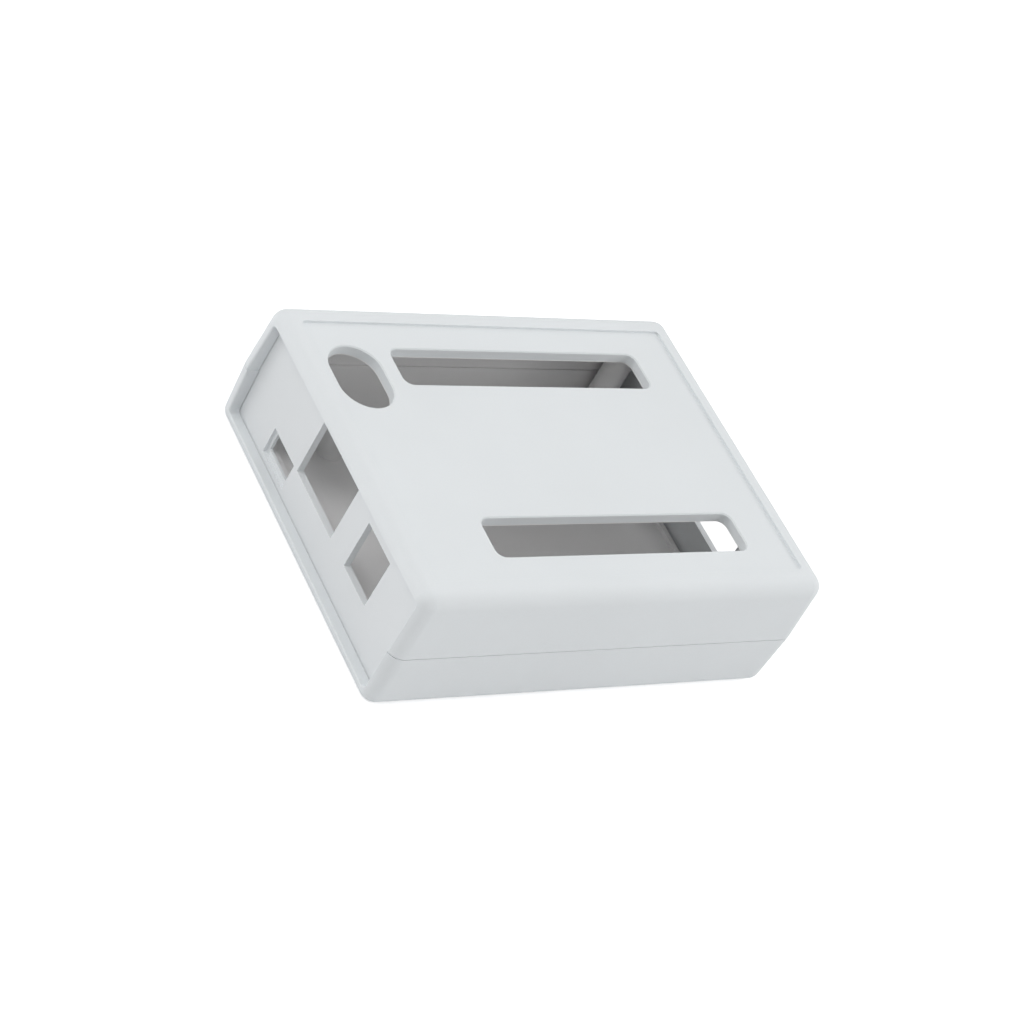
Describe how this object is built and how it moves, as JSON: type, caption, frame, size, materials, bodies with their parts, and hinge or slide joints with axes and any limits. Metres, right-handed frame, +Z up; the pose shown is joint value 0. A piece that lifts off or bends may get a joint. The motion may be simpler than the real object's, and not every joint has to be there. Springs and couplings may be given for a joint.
{
  "type": "plastic project box",
  "caption": "Plastic project box for a small computer board: screwed shells, slide-in end panels, header slots and connector windows.",
  "frame": {"origin": "middle of the underside of the closed box", "axes": "+X along the length, from the connector panel to the far panel; +Y to the side with the oval hole; +Z up through the top"},
  "size_m": [0.0984, 0.0778, 0.03],
  "materials": {
    "light_grey_plastic": "fine satin texture",
    "panel_plastic": "fine satin texture",
    "screw_steel": "zinc plated"
  },
  "bodies": {
    "root": {"top_cover": "light_grey_plastic", "base": "light_grey_plastic", "connector_panel": "panel_plastic", "far_panel": "panel_plastic", "case_screws": "screw_steel"}
  },
  "joints": []
}
